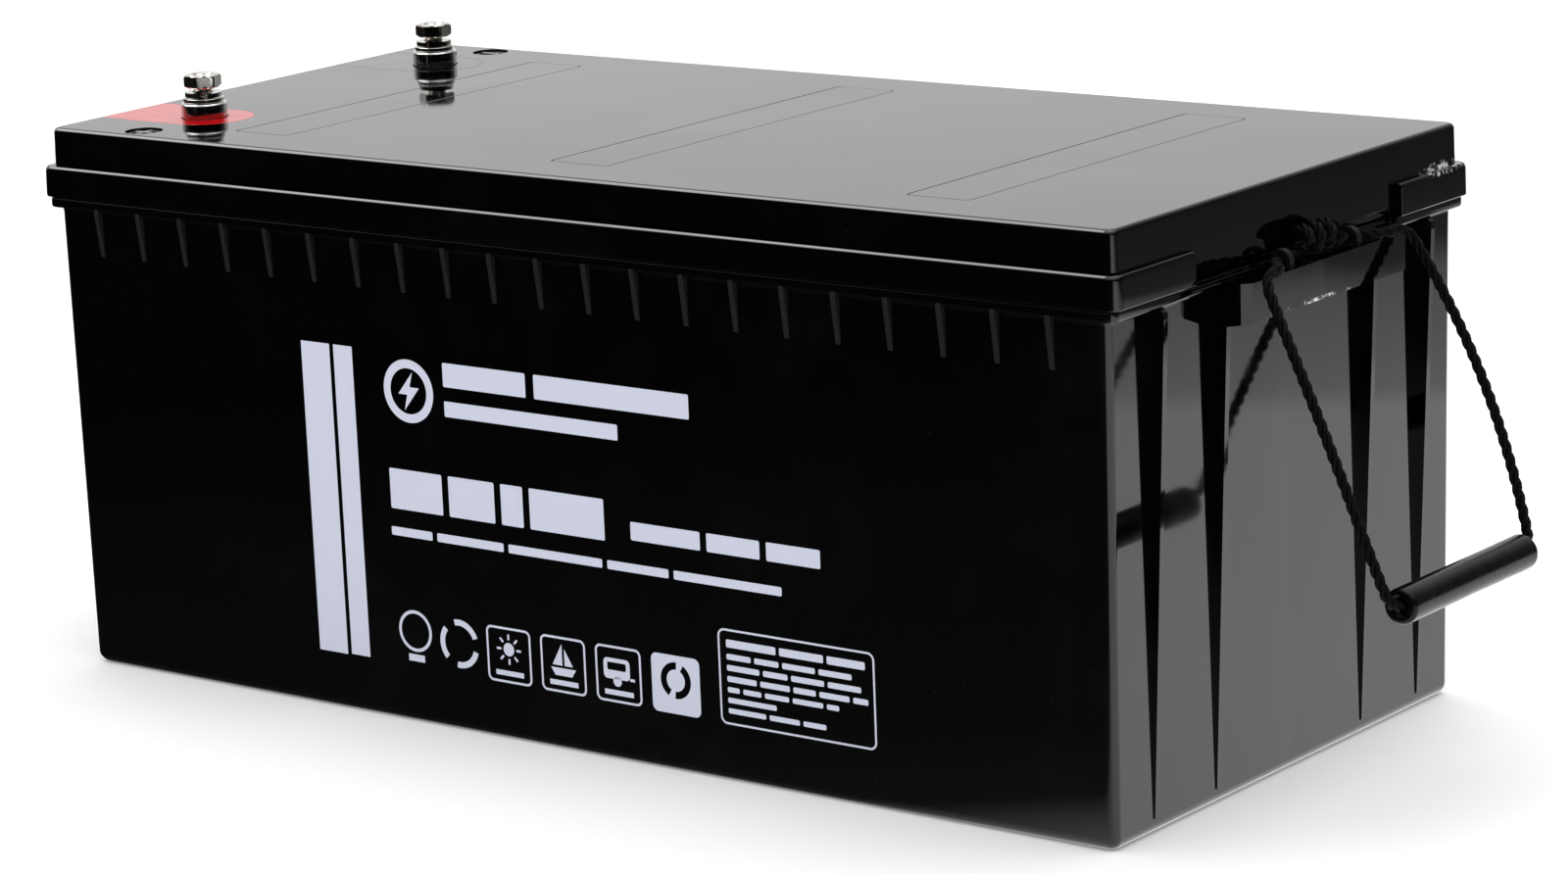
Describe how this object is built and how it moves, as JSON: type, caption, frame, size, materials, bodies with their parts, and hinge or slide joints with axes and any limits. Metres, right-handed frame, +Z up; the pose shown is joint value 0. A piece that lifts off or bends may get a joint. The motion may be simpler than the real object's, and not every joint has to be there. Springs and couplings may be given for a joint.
{
  "type": "deep cycle battery",
  "caption": "Valve-regulated lead-acid deep cycle battery block with a ribbed black case, raised lid, screw-top terminals and swinging rope handles at both ends.",
  "frame": {"origin": "middle of the flat base, which rests on the floor or battery tray", "axes": "+X along the battery's length, away from the terminals; +Z up; -Y is the printed front; the positive terminal is at -X -Y"},
  "size_m": [0.5919, 0.24, 0.2362],
  "materials": {
    "case_plastic": "glossy black injection-moulded ABS, faint waviness and fine scuffs",
    "lid_plastic": "glossy black injection-moulded ABS lid, faint waviness and flow lines",
    "cover_plastic": "glossy black ABS cover, slightly warped",
    "epoxy": "dark cast epoxy",
    "valve_rubber": "soft matt black EPDM rubber",
    "seal_rubber": "matt black rubber",
    "positive_plate": "dark brown pasted lead plate, dull and porous",
    "negative_plate": "grey pasted lead plate, dull and porous",
    "glass_mat": "white absorbent glass-fibre mat",
    "lead": "cast and turned lead alloy, satin grey",
    "screw_steel": "bright stainless steel with fine turning marks",
    "red_resin": "red poured epoxy, glossy with soft ripples",
    "black_resin": "black poured epoxy, glossy with soft ripples",
    "rope_cord": "black twisted polypropylene cord",
    "grip_plastic": "black extruded plastic tube, satin gloss"
  },
  "bodies": {
    "battery": {"container": "case_plastic", "lid": "lid_plastic", "lid_epoxy_bead": "epoxy", "vent_cover_strip_1": "cover_plastic", "vent_cover_strip_2": "cover_plastic", "vent_cover_strip_3": "cover_plastic", "valve_cap_1": "valve_rubber", "valve_cap_2": "valve_rubber", "valve_cap_3": "valve_rubber", "valve_cap_4": "valve_rubber", "valve_cap_5": "valve_rubber", "valve_cap_6": "valve_rubber", "cell_1_positive_plates": "positive_plate", "cell_1_negative_plates": "negative_plate", "cell_1_glass_mat": "glass_mat", "cell_2_positive_plates": "positive_plate", "cell_2_negative_plates": "negative_plate", "cell_2_glass_mat": "glass_mat", "cell_3_positive_plates": "positive_plate", "cell_3_negative_plates": "negative_plate", "cell_3_glass_mat": "glass_mat", "cell_4_positive_plates": "positive_plate", "cell_4_negative_plates": "negative_plate", "cell_4_glass_mat": "glass_mat", "cell_5_positive_plates": "positive_plate", "cell_5_negative_plates": "negative_plate", "cell_5_glass_mat": "glass_mat", "cell_6_positive_plates": "positive_plate", "cell_6_negative_plates": "negative_plate", "cell_6_glass_mat": "glass_mat", "cell_link_1_to_2": "lead", "cell_link_2_to_3": "lead", "cell_link_3_to_4": "lead", "cell_link_4_to_5": "lead", "cell_link_5_to_6": "lead", "positive_terminal_post": "lead", "positive_post_seal": "seal_rubber", "positive_marking_field": "red_resin", "positive_polarity_disc": "cover_plastic", "negative_terminal_post": "lead", "negative_post_seal": "seal_rubber", "negative_marking_field": "black_resin", "negative_polarity_disc": "cover_plastic", "right_rope_knot": "rope_cord", "left_rope_knot": "rope_cord"},
    "right_handle": {"right_rope_loop": "rope_cord"},
    "right_handle_grip": {"right_grip": "grip_plastic"},
    "left_handle": {"left_rope_loop": "rope_cord"},
    "left_handle_grip": {"left_grip": "grip_plastic"},
    "positive_screw": {"positive_terminal_screw": "screw_steel"},
    "positive_washers": {"positive_flat_washer": "screw_steel", "positive_spring_washer": "screw_steel"},
    "negative_screw": {"negative_terminal_screw": "screw_steel"},
    "negative_washers": {"negative_flat_washer": "screw_steel", "negative_spring_washer": "screw_steel"}
  },
  "joints": [
    {"name": "right_handle_swing", "type": "hinge", "parent": "battery", "child": "right_handle", "pos_m": [0.2635, 0, 0.1919], "axis": [0, -1, 0], "range_deg": [-25.8, 170]},
    {"name": "right_grip_spin", "type": "hinge", "parent": "right_handle", "child": "right_handle_grip", "pos_m": [0.3154, 0, 0.08061], "axis": [0, 1, 0], "continuous": true},
    {"name": "left_handle_swing", "type": "hinge", "parent": "battery", "child": "left_handle", "pos_m": [-0.2635, 0, 0.1919], "axis": [0, 1, 0], "range_deg": [-0.8, 195]},
    {"name": "left_grip_spin", "type": "hinge", "parent": "left_handle", "child": "left_handle_grip", "pos_m": [-0.2635, 0, 0.0691], "axis": [0, 1, 0], "continuous": true},
    {"name": "positive_screw_turn", "type": "hinge", "parent": "battery", "child": "positive_screw", "pos_m": [-0.2079, -0.0705, 0.225], "axis": [0, 0, 1], "range_deg": [-455, 4320]},
    {"name": "positive_washers_lift", "type": "slide", "parent": "battery", "child": "positive_washers", "axis": [0, 0, 1], "range_m": [0, 0.0012]},
    {"name": "negative_screw_turn", "type": "hinge", "parent": "battery", "child": "negative_screw", "pos_m": [-0.2079, 0.0705, 0.225], "axis": [0, 0, 1], "range_deg": [-455, 4320]},
    {"name": "negative_washers_lift", "type": "slide", "parent": "battery", "child": "negative_washers", "axis": [0, 0, 1], "range_m": [0, 0.0012]}
  ]
}
